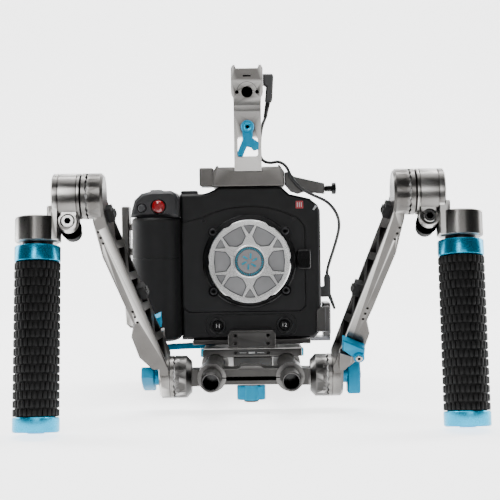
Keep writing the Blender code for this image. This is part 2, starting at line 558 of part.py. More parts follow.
def make_arm(side, sign):
    frame = frame_at(f"arm_{side}_axis", 0, LOWER_Y, LOWER_Z, ARM_LEAN)
    depth = ARM_HALF_DEPTH
    arm = Piece(f"arm_{side}", prism(arm_outline(sign), "Y", -depth, depth, bevel=0.7),
                "titanium_grey", frame)
    low = turned([(ROSETTE_R, sign * 62.2), (ROSETTE_R, sign * 68.4), (14.2, sign * 70.2)],
                 0, 0, "X", 28)
    high = turned([(14.4, sign * 101.4), (ROSETTE_R, sign * 103.2), (ROSETTE_R, sign * 110.2)],
                  0, ARM_LENGTH, "X", 28)
    arm.join(low).join(high)
    arm.join(toothed(0, ARM_LENGTH, "X", sign * 110.0, sign * (UPPER_FACE - 0.15)))
    if sign < 0:  # the lug on the back of the left arm
        lug = [(-84, 45.0), (-90.5, 43.4), (-93.6, 47.2), (-93.6, 61.8), (-84, 61.8)]
        arm.join(prism(lug, "Y", 3.0, depth - 0.4, bevel=0.6))
    arm.cut(truss_pockets(sign),
            merged(*[rod(sign * (86.3 - 1.45 * i + 20.2 * j), 68.8 - 4.7 * i + 67.6 * j, 1.15, "Y",
                         face * 16 - 5, face * 16 + 5, 6)
                     for i in range(3) for j in range(2) for face in (-1, 1)]),
            rod(0, 0, 4.0, "X", *span(sign * 60, sign * 72), 20))
    Piece(f"arm_rosette_{side}", toothed(0, 0, "X", sign * 61.9, sign * (LOWER_FACE + 0.15)),
          "steel", frame)

    # The cam lever sits on the front of the right arm and, the arm being turned round, on the
    # back of the left one.
    face = -sign
    pivot_x, pivot_z = 80.5, 31.2
    block = [(66.2, 17.6), (71.0, 17.6), (75.2, 24.2), (75.2, 30.2), (66.2, 33.8)]
    Piece(f"cam_block_{side}",
          prism([(sign * a, b) for a, b in block], "Y",
                *span(face * (depth + FIT), face * (depth + 6.4)), bevel=0.5),
          "titanium_grey", frame)
    pivot = frame_at(f"cam_lever_{side}_axis", sign * pivot_x, 0, pivot_z)
    pivot.parent = frame
    lever = Piece(f"cam_lever_{side}",
                  rod(0, 0, 4.2, "Y", *span(face * (depth + FIT), face * (depth + 10.5)), 24,
                      bevel=0.5), "blue_anodised", pivot)
    paddle = [(4.0, -1.5), (4.4, 7.2), (1, 8.8), (-12.2, 15.4), (-12.4, 6.2), (-9.5, 4.0),
              (-3.0, -1.5)]
    lever.join(prism([(sign * a, b) for a, b in paddle], "Y",
                     *span(face * (depth + 1.0), face * (depth + 9.0)), bevel=0.8))


def make_ratchet_lever(side, sign):
    """The wing can be lifted and set at any angle, and the two are not set alike."""
    turn = 0.0 if sign > 0 else math.radians(65.0)
    frame = frame_at(f"ratchet_{side}_axis", 0, LOWER_Y, LOWER_Z, turn)
    lever = Piece(f"ratchet_lever_{side}", rod(0, 0, 6.2, "X", *span(sign * 70.6, sign * 74.6), 24),
                  "blue_anodised", frame)
    wing = [(-6.4, -14), (6.4, -14), (7.2, -6), (6.8, 3), (4.2, 12), (-4.2, 12), (-6.8, 3),
            (-7.2, -6)]
    lever.join(prism(wing, "X", *span(sign * 74.0, sign * 84.0), bevel=0.9))
    lever.join(rod(0, 0, 2.9, "X", *span(sign * 63.0, sign * 71.0), 16))


def make_handle(side, sign):
    frame = frame_at(f"handle_{side}_axis", 0, UPPER_Y, UPPER_Z, -GRIP_TILT)
    groove = ROSETTE_R - 0.8
    profile = [(14.6, BARREL_IN), (ROSETTE_R, BARREL_IN + 1), (ROSETTE_R, 119.2), (groove, 119.4),
               (groove, 119.9), (ROSETTE_R, 120.1), (ROSETTE_R, 132.2), (groove, 132.4),
               (groove, 132.9), (ROSETTE_R, 133.1), (ROSETTE_R, BARREL_OUT - 0.9),
               (15.0, BARREL_OUT)]
    barrel = Piece(f"clamp_barrel_{side}",
                   turned([(r, sign * x) for r, x in profile], 0, 0, "X", 28),
                   "titanium_grey", frame)
    screw_turn = Matrix.Translation((sign * SCREW_X, 0, SCREW_Z)) @ Matrix.Rotation(
        -SCREW_TILT, 4, "X")
    boss = moved(rod(0, 0, 7.2, "Y", -10.6, 8.0, 24, bevel=0.7), screw_turn)
    barrel.join(box(*span(sign * 119.4, sign * 131.4), -10, 7, SCREW_Z, -10, bevel=0.8))
    barrel.join(boss)
    barrel.join(box(*span(sign * 132.6, sign * 140.5), -11, 6, HEAD_BOTTOM + 0.6, -8, bevel=0.8))
    barrel.join(turned([(14.6, HEAD_BOTTOM), (GRIP_R, HEAD_BOTTOM + 1), (GRIP_R, HEAD_TOP - 0.8),
                        (15.2, HEAD_TOP)], sign * GRIP_X, 0, "Z", 28))
    barrel.cut(moved(rod(0, 0, 5.2, "Y", -15, -6, 24), screw_turn),
               rod(0, 0, 4.0, "X", *span(sign * 108, sign * 129), 20))
    Piece(f"clamp_rosette_{side}",
          toothed(0, 0, "X", sign * (BARREL_IN - FIT), sign * (UPPER_FACE + 0.15)),
          "steel", frame)
    screw_frame = frame_at(f"clamp_screw_{side}_axis", sign * SCREW_X, 0, SCREW_Z, -SCREW_TILT)
    screw_frame.parent = frame
    screw = Piece(f"clamp_screw_{side}", rod(0, 0, 4.7, "Y", -11.2, -6.4, 24, bevel=0.5), "steel",
                  screw_frame)
    screw.cut(prism(circle(0, 0, 2.3, 6), "Y", -14, -8.6))
    knob_frame = frame_at(f"clamp_knob_{side}_axis", sign * SCREW_X, 0, SCREW_Z, -SCREW_TILT)
    knob_frame.parent = frame
    Piece(f"clamp_knob_{side}", turned([(5.6, 8.4), (6.6, 9.2), (6.6, 18.0), (5.6, 19.0)], 0, 0,
                                       "Y", 24), "rubber", knob_frame)

    x = sign * GRIP_X
    Piece(f"grip_collar_{side}", turned([(11.0, HEAD_BOTTOM - FIT), (11.0, GRIP_TOP - 0.8),
                                         (15.2, GRIP_TOP - 0.9), (GRIP_R, GRIP_TOP - 1.7),
                                         (GRIP_R, GRIP_COLLAR + 0.7), (15.3, GRIP_COLLAR)],
                                        x, 0, "Z", 28), "blue_anodised", frame)
    Piece(f"grip_rubber_{side}", turned([(15.0, GRIP_COLLAR - FIT), (GRIP_R - 0.2, GRIP_COLLAR - 1),
                                         (GRIP_R - 0.2, GRIP_END + 1), (15.0, GRIP_END + FIT)],
                                        x, 0, "Z", 28), "rubber", frame)
    Piece(f"grip_end_{side}", turned([(15.4, GRIP_END), (GRIP_R + 0.2, GRIP_END - 0.8),
                                      (GRIP_R + 0.2, GRIP_BOTTOM + 1.6), (15.0, GRIP_BOTTOM + 0.6),
                                      (6.0, GRIP_BOTTOM + 0.5), (5.4, GRIP_BOTTOM)],
                                     x, 0, "Z", 28), "blue_anodised", frame)


def make_rear_pieces():
    battery = Piece("battery_pack", box(-24, 20, CAM_BACK + FIT, CAM_BACK + 24, 46, 112, bevel=2.0),
                    "camera_black")
    battery.cut(box(-14, 10, CAM_BACK + 22.8, CAM_BACK + 30, 100, 106))
    plate = Piece("cage_side_plate", box(-111.5, -105.0, 0, 20, 93, 146, bevel=0.8),
                  "titanium_grey")
    plate.join(merged(rod(10, 106, 3.2, "X", -107, HAND_LEFT - FIT, 16),
                      rod(10, 128, 3.2, "X", -107, HAND_LEFT - FIT, 16)))


make_camera()
make_hand_grip()
make_camera_controls()
make_lens_cap()
make_rear_pieces()
make_top()
cable_bracket()
side_clamp()
make_cable()
make_base()
make_front_bracket()
for name, direction in (("left", -1), ("right", 1)):
    make_arm(name, direction)
    make_ratchet_lever(name, direction)
    make_handle(name, direction)
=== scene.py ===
# %% [markdown]
# # A cinema camera rig, finished for the studio
#
# The mechanical model of the rig is already built: every plate, lever and screw has its size, its
# place and its joint. This lesson adds what the eye judges, which is softened edges, anodised and
# moulded surfaces, rubber sleeves, screws, seams and light. Nothing mechanical moves here. We load
# the model, remember its box, and work in its coordinates.

# %% Load the rig
import json
import math

import bmesh
import bpy
from mathutils import Matrix, Vector


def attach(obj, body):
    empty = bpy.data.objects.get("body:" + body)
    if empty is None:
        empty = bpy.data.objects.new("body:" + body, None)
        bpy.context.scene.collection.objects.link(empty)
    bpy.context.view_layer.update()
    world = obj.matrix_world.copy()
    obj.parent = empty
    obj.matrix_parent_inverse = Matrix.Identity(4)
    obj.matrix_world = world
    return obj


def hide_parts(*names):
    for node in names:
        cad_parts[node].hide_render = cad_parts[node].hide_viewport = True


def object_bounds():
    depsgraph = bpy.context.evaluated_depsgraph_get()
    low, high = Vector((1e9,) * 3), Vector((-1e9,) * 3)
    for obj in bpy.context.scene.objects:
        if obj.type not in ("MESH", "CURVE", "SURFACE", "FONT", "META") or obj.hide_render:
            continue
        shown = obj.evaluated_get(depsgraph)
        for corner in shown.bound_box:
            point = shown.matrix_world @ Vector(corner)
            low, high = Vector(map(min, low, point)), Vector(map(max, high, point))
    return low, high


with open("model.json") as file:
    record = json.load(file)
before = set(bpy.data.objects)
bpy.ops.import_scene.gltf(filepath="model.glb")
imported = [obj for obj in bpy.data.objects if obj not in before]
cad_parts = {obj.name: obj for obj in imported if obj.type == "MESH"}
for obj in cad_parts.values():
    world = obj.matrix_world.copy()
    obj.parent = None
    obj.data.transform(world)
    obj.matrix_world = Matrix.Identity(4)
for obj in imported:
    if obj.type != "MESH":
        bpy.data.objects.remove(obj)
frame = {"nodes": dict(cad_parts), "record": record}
cad_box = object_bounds()
nodes = frame["nodes"]
body_of = {node: body for body, names in frame["record"]["behaviour"]["bodies"].items()
           for node in names}
slot_of = {part["node"]: part["material_slot"] for part in frame["record"]["subparts"]}
MM = 0.001
SIDES = (("left", -1), ("right", 1))

# %% [markdown]
# ## Camera and light
#
# A rig like this is shot from the front with a long lens, level with the middle of the camera. The
# long lens keeps the plates square, and a white sweep under and behind gives dark plastic a bright
# edge. Bare and anodised metal shows what stands around it, so the light comes from a few soft
# panels with darkness between them: that is what draws the bands along every barrel. The sweep
# mirrors only from the lower edge of the camera's view on, so what lies in front of the rig mirrors
# as darkness. The paper glows, which keeps it white, but it doesn't light the rig from below.

# %% Colours and the camera
def hex_linear(code):
    """An sRGB hex value as linear red, green and blue."""
    values = [int(code[i:i + 2], 16) / 255 for i in (1, 3, 5)]
    return [v / 12.92 if v <= 0.04045 else ((v + 0.055) / 1.055) ** 2.4 for v in values]


def add_node(tree, kind, settings=None, **links):
    """Adds a node. Settings are its attributes. Each link names an input, or gives its number after
    an underscore, and holds a value or the socket to join."""
    item = tree.nodes.new(kind)
    for key, value in (settings or {}).items():
        setattr(item, key, value)
    for key, value in links.items():
        place = int(key[1:]) if key[0] == "_" else key.replace("_", " ")
        if isinstance(value, bpy.types.NodeSocket):
            tree.links.new(value, item.inputs[place])
        else:
            item.inputs[place].default_value = value
    return item


EYE = Vector((0.0006, -1.052, 0.129))
LENS_MM = 86.4
PITCH, ROLL = math.radians(1.24), math.radians(-0.85)
camera_data = bpy.data.cameras.new("studio_camera")
camera_data.lens = LENS_MM
camera_data.sensor_width = 36.0
camera = bpy.data.objects.new("studio_camera", camera_data)
bpy.context.collection.objects.link(camera)
facing = Matrix.Rotation(math.pi / 2 - PITCH, 4, "X") @ Matrix.Rotation(ROLL, 4, "Z")
camera.matrix_world = Matrix.Translation(EYE) @ facing
bpy.context.scene.camera = camera
print("camera", [round(v, 3) for v in EYE], "lens", LENS_MM, "mm")

# %% Sweep, walls and lights
FLOOR_Z = cad_box[0][2] - 0.0005
ROOM_HALF = 3.5
ROOM_HEIGHT = 3.2
SWEEP_START, SWEEP_BACK, SWEEP_RADIUS = -0.46, 1.6, 0.6
PAPER_COLOUR, PAPER_ROUGHNESS, PAPER_GLOW = "#f7f7f7", 0.9, 2.6


def white_sheet(name, rows, unseen_by):
    """A glowing paper sheet that runs through rows of (y, z) and is flat across x."""
    shape = bmesh.new()
    lines = [[shape.verts.new((x, y, z)) for x in (-ROOM_HALF, ROOM_HALF)] for y, z in rows]
    for low, high in zip(lines, lines[1:]):
        shape.faces.new((low[0], low[1], high[1], high[0]))
    mesh = bpy.data.meshes.new(name)
    shape.to_mesh(mesh)
    shape.free()
    mesh.shade_smooth()
    paper = bpy.data.materials.new(name)
    paper.use_nodes = True
    shader = paper.node_tree.nodes["Principled BSDF"]
    shader.inputs["Base Color"].default_value = (*hex_linear(PAPER_COLOUR), 1)
    shader.inputs["Roughness"].default_value = PAPER_ROUGHNESS
    shader.inputs["Emission Color"].default_value = (1, 1, 1, 1)
    shader.inputs["Emission Strength"].default_value = PAPER_GLOW
    mesh.materials.append(paper)
    sheet = bpy.data.objects.new(name, mesh)
    bpy.context.collection.objects.link(sheet)
    for ray in unseen_by:
        setattr(sheet, f"visible_{ray}", False)
    return sheet


def area_light(name, place, target, width, height, power):
    data = bpy.data.lights.new(name, "AREA")
    data.energy = power
    data.shape = "RECTANGLE"
    data.size = width
    data.size_y = height
    lamp = bpy.data.objects.new(name, data)
    bpy.context.collection.objects.link(lamp)
    lamp.location = place
    lamp.rotation_euler = (Vector(target) - Vector(place)).to_track_quat("-Z", "Y").to_euler()


sweep_rows = [(SWEEP_START, FLOOR_Z), (SWEEP_BACK - SWEEP_RADIUS, FLOOR_Z)]
for step in range(1, 13):
    angle = math.pi / 2 * step / 12
    sweep_rows.append((SWEEP_BACK - SWEEP_RADIUS * (1 - math.sin(angle)),
                       FLOOR_Z + SWEEP_RADIUS * (1 - math.cos(angle))))
sweep_rows.append((SWEEP_BACK, FLOOR_Z + ROOM_HEIGHT))
white_sheet("white_sweep", sweep_rows, ("diffuse",))
near_floor_rows = [(-ROOM_HALF, FLOOR_Z), (SWEEP_START, FLOOR_Z)]
white_sheet("near_floor", near_floor_rows, ("diffuse", "glossy"))
# Three white walls close the room for any other view; like the near floor, they light nothing.
wall_rows = [(-ROOM_HALF, FLOOR_Z), (-ROOM_HALF, FLOOR_Z + ROOM_HEIGHT)]
for label, turn in (("front", 0), ("left", -90), ("right", 90)):
    wall = white_sheet(f"{label}_wall", wall_rows, ("diffuse", "glossy", "shadow"))
    wall.rotation_euler.z = math.radians(turn)

world = bpy.data.worlds.new("room")
bpy.context.scene.world = world
world.use_nodes = True
world.node_tree.nodes["Background"].inputs["Color"].default_value = (0.93, 0.96, 1.0, 1)
world.node_tree.nodes["Background"].inputs["Strength"].default_value = 0.07
middle = (0.0, 0.0, 0.12)
area_light("left_rim", (-1.35, 0.45, 0.40), middle, 0.45, 1.3, 13)
area_light("right_rim", (1.35, 0.45, 0.40), middle, 0.45, 1.3, 13)
area_light("top_panel", (0.0, -0.15, 1.45), middle, 0.9, 0.6, 5.5)
area_light("front_key", (-0.35, -1.55, 0.85), middle, 0.26, 0.75, 7)
area_light("front_fill", (0.30, -1.95, 0.42), middle, 0.9, 0.5, 6)
area_light("sweep_wash", (0.0, 0.45, 2.1), (0, 1.5, 0.3), 2.6, 0.6, 90)
area_light("floor_wash", (0.0, -0.7, 1.9), (0, -0.1, 0), 1.6, 0.25, 3)

# %% [markdown]
# ## The trigger cable
#
# A thin cable joins the start button on the top handle to the camera's side. It is a real length of
# round jacketed cable, springy but easy to bend, held by its plug at each end, so it leaves the upper plug
# straight down, slips behind the post, turns out over the plate and hangs in one wide bow. A curve
# with a round bevel says exactly that. The route is a short list of points, and a Catmull-Rom
# spline, which passes through each of them, makes the smooth line.

# %% The cable
CABLE_D = 2.6 * MM
CABLE_ROUTE = [  # millimetres
    (17.5, -30.0, 231.6), (16.9, -28.8, 225.6), (15.2, -25.7, 219.5), (12.4, -22.6, 212.0),
    (10.7, -21.2, 202.0), (10.4, -20.8, 193.0), (11.0, -21.0, 186.0), (14.2, -22.4, 182.4),
    (19.5, -26.0, 181.0), (26.0, -31.6, 181.4), (31.8, -38.4, 177.4), (35.6, -41.0, 169.8),
    (40.0, -41.6, 163.0), (45.6, -42.0, 157.6), (52.0, -42.0, 153.8), (59.0, -41.8, 150.4),
    (65.0, -41.2, 147.4), (70.2, -40.0, 142.6), (74.2, -38.2, 136.4), (76.3, -35.6, 129.0),
    (75.8, -32.2, 121.0), (73.4, -27.4, 111.0), (70.6, -21.4, 101.0), (68.4, -15.6, 93.0),
    (67.2, -12.6, 87.4), (67.1, -12.0, 84.8),
]


def smooth_route(points, spacing):
    """Points about one spacing apart on a Catmull-Rom curve through the route."""
    route = [Vector(p) * MM for p in points]
    route = [route[0] * 2 - route[1]] + route + [route[-1] * 2 - route[-2]]
    result = []
    for a, b, c, d in zip(route, route[1:], route[2:], route[3:]):
        steps = max(1, round((c - b).length / spacing))
        for i in range(steps):
            t = i / steps
            result.append(0.5 * (2 * b + (c - a) * t + (2 * a - 5 * b + 4 * c - d) * t * t
                                 + (3 * b - a - 3 * c + d) * t ** 3))
    return result + [route[-2]]


def line_piece(name, points, radius, finish, body, closed=False, sides=4):
    """A round line through points, as a curve."""
    line = bpy.data.curves.new(name, "CURVE")
    line.dimensions = "3D"
    line.bevel_depth = radius
    line.bevel_resolution = sides
    line.use_fill_caps = not closed
    spline = line.splines.new("POLY")
    spline.points.add(len(points) - 1)
    for slot_point, point in zip(spline.points, points):
        slot_point.co = (*point, 1.0)
    spline.use_cyclic_u = closed
    spline.use_smooth = True
    line.materials.append(finish)
    piece = bpy.data.objects.new(name, line)
    bpy.context.collection.objects.link(piece)
    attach(piece, body)
    return piece


jacket = bpy.data.materials.new("extruded black cable jacket")
cable_points = smooth_route(CABLE_ROUTE, CABLE_D * 0.8)
cable = line_piece("trigger_cable_line", cable_points, CABLE_D / 2, jacket, "rig",
                   sides=3)
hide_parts("trigger_cable")

# %% [markdown]
# ## Finishes
#
# Every surface here is one of a few real finishes, and one function draws them all, because they
# share one build: a base colour that drifts slowly, a fine grain that roughens and dents the
# surface, and paler edges, partly wear and partly a painted highlight. What differs is what the
# process leaves. Bead blasting leaves an even grain that spreads a highlight, anodising tints the
# metal and keeps it metallic, etched moulds leave a pebbled skin on plastic, and rubber stays dull.
# Patterns read Object coordinates, so their sizes are real millimetres.

# %% One recipe for a surface
def surface(name, light, dark, roughness, metallic=0.0, grain_mm=0.6, depth_mm=0.02,
            cloud_mm=18.0, stretch=(1, 1, 1), edge=None, coat=0.0, gloss=0.5,
            material=None):
    """light and dark end the slow drift in colour; edge colours the edges, as wear and painted highlight.
    """
    material = material or bpy.data.materials.new(name)
    material.use_nodes = True
    tree = material.node_tree
    shader = tree.nodes["Principled BSDF"]
    place = add_node(tree, "ShaderNodeTexCoord").outputs["Object"]
    cloud = add_node(tree, "ShaderNodeTexNoise", Vector=place, Scale=1 / (cloud_mm * MM),
                     Detail=2.0)
    lined = add_node(tree, "ShaderNodeMapping", Vector=place, Scale=stretch)
    grain = add_node(tree, "ShaderNodeTexNoise", Vector=lined.outputs[0],
                     Scale=1 / (grain_mm * MM), Detail=2.0)
    drift = add_node(tree, "ShaderNodeMapRange", Value=cloud.outputs[0], From_Min=0.35,
                     From_Max=0.65)
    colour = add_node(tree, "ShaderNodeMix", {"data_type": "RGBA"}, _0=drift.outputs[0],
                      _6=(*hex_linear(dark), 1), _7=(*hex_linear(light), 1)).outputs[2]
    if edge:
        # Edges are mixed toward a paler colour, partly as wear and partly as a painted highlight.
        bend = add_node(tree, "ShaderNodeNewGeometry").outputs["Pointiness"]
        edge_wear_and_highlight = add_node(tree, "ShaderNodeMapRange", Value=bend, From_Min=0.53, From_Max=0.62,
                        To_Max=0.8)
        colour = add_node(tree, "ShaderNodeMix", {"data_type": "RGBA"}, _0=edge_wear_and_highlight.outputs[0],
                          _6=colour, _7=(*hex_linear(edge), 1)).outputs[2]
    tree.links.new(colour, shader.inputs["Base Color"])
    sheen = add_node(tree, "ShaderNodeMapRange", Value=grain.outputs[0], From_Min=0.3,
                     From_Max=0.7, To_Min=roughness - 0.02, To_Max=roughness + 0.03)
    tree.links.new(sheen.outputs[0], shader.inputs["Roughness"])
    dents = add_node(tree, "ShaderNodeBump", Strength=0.4, Distance=depth_mm * MM,
                     Height=grain.outputs[0])
    tree.links.new(dents.outputs[0], shader.inputs["Normal"])
    shader.inputs["Metallic"].default_value = metallic
    shader.inputs["Coat Weight"].default_value = coat
    shader.inputs["Specular IOR Level"].default_value = gloss
    shader.inputs["Coat Roughness"].default_value = 0.12
    return material


# %% Metals
# Anodised aluminium over bead blasting: the real grain is about 0.1 mm, drawn at 0.5 mm to show.
TITANIUM = surface("bead blasted grey anodised aluminium", "#555351", "#4e4c4a", 0.29, 1.0, 0.5,
                   0.002, edge="#bdbbb8")
# Also used for the cap's pocket walls, as painted shade.
DARK_METAL = surface("dark grey anodised aluminium", "#474645", "#3d3c3b", 0.34, 1.0, 0.5, 0.015,
                     edge="#8d8d90")
CAP_METAL = surface("silver anodised aluminium", "#bdbdbc", "#b2b2b1", 0.27, 1.0, 0.5, 0.002,
                    edge="#f0f0f0")
# The base plates and rods, under the camera, take a darker copy of the grey.
BASE_METAL = surface("dark titanium anodised aluminium", "#403f3e", "#383736", 0.31, 1.0, 0.5,
                     0.003, edge="#b0aeac")
# A pocket floor keeps the cutter's matt face, and a darker colour than the rim as painted shade.
POCKET_METAL = surface("milled and blasted pocket floor", "#808081", "#767677", 0.55, 0.9, 0.45,
                       0.03)
BLUE = surface("bright dipped blue anodised aluminium", "#0097c2", "#008fb9", 0.27, 0.85, 0.4,
               0.0004, edge="#1fb9dc")
# Levers are die cast, dyed and sealed: the same blue under a satin skin that mirrors less.
LEVER_BLUE = surface("sealed blue anodised casting", "#009ccc", "#0093c1", 0.38, 0.25, 0.5,
                     0.002, edge="#14b4dc", gloss=0.15)
# Steel from the lathe has fine rings about its axis; a thread's pitch apart here, so that they show.
STEEL = surface("turned stainless steel", "#9a9997", "#8b8a88", 0.22, 1.0, 0.5, 0.002,
                stretch=(1.0, 0.08, 0.08))
# Also used for the dark lines round the cap's pockets, as painted shade.
BLACK_STEEL = surface("black oxide steel", "#1b1b1c", "#121213", 0.28, 0.9, 0.6, 0.01,
                      edge="#5a5a5c")

# %% Plastics, rubber, paint
# Etched moulds give polycarbonate a pebble of about 0.3 mm, drawn at 0.7 mm.
CASING = surface("pebbled black polycarbonate", "#151516", "#101011", 0.46, 0.0, 0.7, 0.03,
                 edge="#2c2c2d", gloss=0.2)
LEATHERED = surface("leather grained black elastomer", "#161617", "#101011", 0.56, 0.0, 1.1, 0.10,
                    gloss=0.22)
GREY_CASE = surface("painted grey polycarbonate", "#343436", "#2b2b2d", 0.36, 0.1, 0.6, 0.02,
                    edge="#6a6a6c", gloss=0.3)
# Also used as painted shade: black discs and strips in holes, vents and the rods' bores.
SHINY_BLACK = surface("polished black acrylic", "#0c0c0d", "#080809", 0.14, 0.0, 3.0, 0.004,
                      coat=0.08, gloss=0.25)
RUBBER = surface("moulded black rubber", "#121212", "#0c0c0c", 0.60, 0.0, 0.9, 0.04,
                 gloss=0.2)
surface("extruded black cable jacket", "#1a1a1b", "#131314", 0.38, 0.0, 1.5, 0.01,
        material=jacket)
RED = surface("moulded red acrylic", "#c4121f", "#b30e1a", 0.16, 0.0, 4.0, 0.004, coat=0.8)
WHITE_INK = surface("printed white ink", "#e8e8e8", "#d6d6d6", 0.5, 0.0, 0.4, 0.004)
CYAN_INK = surface("printed cyan ink", "#1fc4e6", "#12b4d8", 0.4, 0.0, 0.4, 0.004)
RED_INK = surface("printed red ink", "#d0454c", "#c23a42", 0.4, 0.0, 0.4, 0.004)
# The inside of a slot or socket sees almost no light, so it is drawn as matt black.
VOID = surface("shadowed bore", "#070707", "#040404", 0.9, 0.0, 1.0, 0.01, gloss=0.0)
GLASS_BLACK = surface("display glass over black", "#060708", "#040405", 0.06, 0.0, 6.0, 0.002,
                      coat=1.0)
FINISH = {"titanium_grey": TITANIUM, "dark_grey_metal": DARK_METAL, "camera_black": CASING,
          "camera_grey": GREY_CASE, "gloss_black": SHINY_BLACK, "cap_silver": CAP_METAL,
          "record_red": RED, "cable_black": jacket, "blue_anodised": LEVER_BLUE, "steel": STEEL,
          "rubber": RUBBER}
print(len(FINISH), "finishes for the record's slots")

# %% [markdown]
# ## Softened edges
#
# No machined or moulded edge is truly sharp: a deburring pass or a mould radius leaves a fraction
# of a millimetre, and that strip is what catches the light. The mechanical solids come as loose
# triangles, so each is copied, sewn, its flat triangles merged into whole faces, and then given a
# small bevel. Weighted normals keep the big faces flat and let only the strip turn. A face with
# many holes can't become one whole face, so such a solid is only sewn and keeps crisp edges. The
# copy is what shows, and the solid stays hidden under it.

# %% One function softens any solid, another only sews it
def sewn_copy(node, tag, merge_flats):
    """A copy whose loose triangles are joined, and whose flat faces can be made whole."""
    mesh = nodes[node].data.copy()
    shape = bmesh.new()
    shape.from_mesh(mesh)
    bmesh.ops.remove_doubles(shape, verts=shape.verts, dist=2e-6)
    if merge_flats:
        bmesh.ops.dissolve_limit(shape, angle_limit=math.radians(0.6), verts=shape.verts,
                                 edges=shape.edges)
    shape.to_mesh(mesh)
    shape.free()
    mesh.shade_smooth()
    piece = bpy.data.objects.new(f"{node}_{tag}", mesh)
    bpy.context.collection.objects.link(piece)
    return piece


def dressed(piece, node, finish):
    piece.data.materials.clear()
    piece.data.materials.append(finish)
    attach(piece, body_of[node])
    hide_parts(node)
    return piece


def edge_softened(node, width_mm, finish):
    piece = sewn_copy(node, "softened", True)
    bevel = piece.modifiers.new("edge", "BEVEL")
    bevel.width = width_mm * MM
    bevel.segments = 2
    bevel.limit_method = "ANGLE"
    bevel.angle_limit = math.radians(32)
    weights = piece.modifiers.new("even", "WEIGHTED_NORMAL")
    weights.mode = "FACE_AREA"
    weights.weight = 100
    graph = bpy.context.evaluated_depsgraph_get()
    piece.data = bpy.data.meshes.new_from_object(piece.evaluated_get(graph))
    piece.modifiers.clear()
    return dressed(piece, node, finish)


def crisp(node, finish):
    """For a face with many holes in it, whose triangles cannot merge into one face."""
    piece = sewn_copy(node, "crisp", False)
    if "custom_normal" in piece.data.attributes:
        piece.data.attributes.remove(piece.data.attributes["custom_normal"])
    piece.data.set_sharp_from_angle(angle=math.radians(20))
    return dressed(piece, node, finish)


def repaint(piece, finish, test):
    """Gives a second finish to the faces whose centre and normal pass a test, in millimetres."""
    mesh = piece.data
    mesh.materials.append(finish)
    picked = [face for face in mesh.polygons if test(face.center / MM, face.normal)]
    for face in picked:
        face.material_index = len(mesh.materials) - 1
    return len(picked)


def rod_bore(place, normal):
    return math.hypot(abs(place.x) - 30, place.z - 12) < 6.6 and abs(normal.y) < 0.5


SOFTENED = {  # bevel in millimetres for each solid
    "camera_body": 0.5, "hand_grip": 0.4, "grip_control_plate": 0.5, "front_panel": 0.3,
    "lens_mount_ring": 0.3, "lens_release": 0.4, "monitor_panel": 0.4,
    "battery_pack": 0.6, "cage_side_plate": 0.4, "top_plate": 0.5,
    "top_grip": 0.6, "post_lever": 0.5, "cable_arm": 0.35, "side_clamp": 0.4,
    "camera_plate": 0.4, "dovetail_plate": 0.4,
    "rod_base": 0.3, "rod_left": 0.25, "rod_right": 0.25, "front_bracket": 0.3,
    "bracket_knob": 0.5, "base_lever": 0.35,
}
for side, sign in SIDES:
    SOFTENED.update({f"arm_{side}": 0.3, f"cam_block_{side}": 0.3, f"cam_lever_{side}": 0.4,
                     f"ratchet_lever_{side}": 0.5, f"clamp_barrel_{side}": 0.35,
                     f"arm_rosette_{side}": 0.1, f"clamp_rosette_{side}": 0.1,
                     f"clamp_screw_{side}": 0.15, 
                      f"clamp_knob_{side}": 0.5})
softened = {node: edge_softened(node, width, FINISH[slot_of[node]])
            for node, width in SOFTENED.items()}
softened["hand_grip"].data.materials[0] = LEATHERED
for side, _ in SIDES:
    softened[f"arm_rosette_{side}"].data.materials[0] = TITANIUM
    softened[f"clamp_rosette_{side}"].data.materials[0] = TITANIUM
for node in ("rod_base", "dovetail_plate", "camera_plate", "front_bracket", "rod_left",
             "rod_right"):
    softened[node].data.materials[0] = BASE_METAL
for side, _ in SIDES:
    repaint(softened[f"rod_{side}"], VOID, rod_bore)
print(len(softened), "softened solids,",
      sum(len(piece.data.polygons) for piece in softened.values()), "faces")

crisp("handle_post", TITANIUM)

# %% Small solids keep their mesh
# These are turned or small parts whose solids are already right, so they only take a finish. Their
# mesh stays as it came.
for node, solid in nodes.items():
    if node not in softened:
        solid.material_slots[0].material = FINISH[slot_of[node]]

# %% [markdown]
# ## Tools for small parts
#
# Most small parts are turned or cut from bar, so two functions make nearly all of them: one spins a
# profile of radius and height about an axis, the other pushes an outline along an axis and rounds
# its edges. Both take millimetres in a part's own frame, such as a leaning arm's, and write plain
# metres. A third turns printed numerals into mesh.

# %% Turned parts, cut parts and numerals
ARM_LEAN = math.atan2(0.077, 0.1384)
RIG = Matrix.Identity(4)
ARM = Matrix.Translation((0, -127, 11.8)) @ Matrix.Rotation(ARM_LEAN, 4, "X")
HANDLE = Matrix.Translation((0, -204, 150.2)) @ Matrix.Rotation(math.radians(-9.5), 4, "X")


def axis_point(a, b, height, axis):
    return {"X": (height, a, b), "Y": (a, height, b), "Z": (a, b, height)}[axis]


def finished_piece(name, shape, finish, body, place, edge_mm=0.0, replaces=None):
    """Turns a bmesh in a frame's millimetres into a finished object."""
    bmesh.ops.recalc_face_normals(shape, faces=shape.faces)
    if edge_mm:
        sharp = [e for e in shape.edges if e.is_manifold and e.calc_face_angle() > 0.6]
        bmesh.ops.bevel(shape, geom=sharp, offset=edge_mm, segments=2, affect="EDGES")
    bmesh.ops.transform(shape, matrix=Matrix.Scale(MM, 4) @ place, verts=shape.verts)
    mesh = bpy.data.meshes.new(name)
    shape.to_mesh(mesh)
    shape.free()
    mesh.shade_smooth()
    mesh.set_sharp_from_angle(angle=math.radians(36))
    mesh.materials.append(finish)
    piece = bpy.data.objects.new(name, mesh)
    bpy.context.collection.objects.link(piece)
    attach(piece, body)
    if replaces:
        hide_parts(replaces)
    return piece


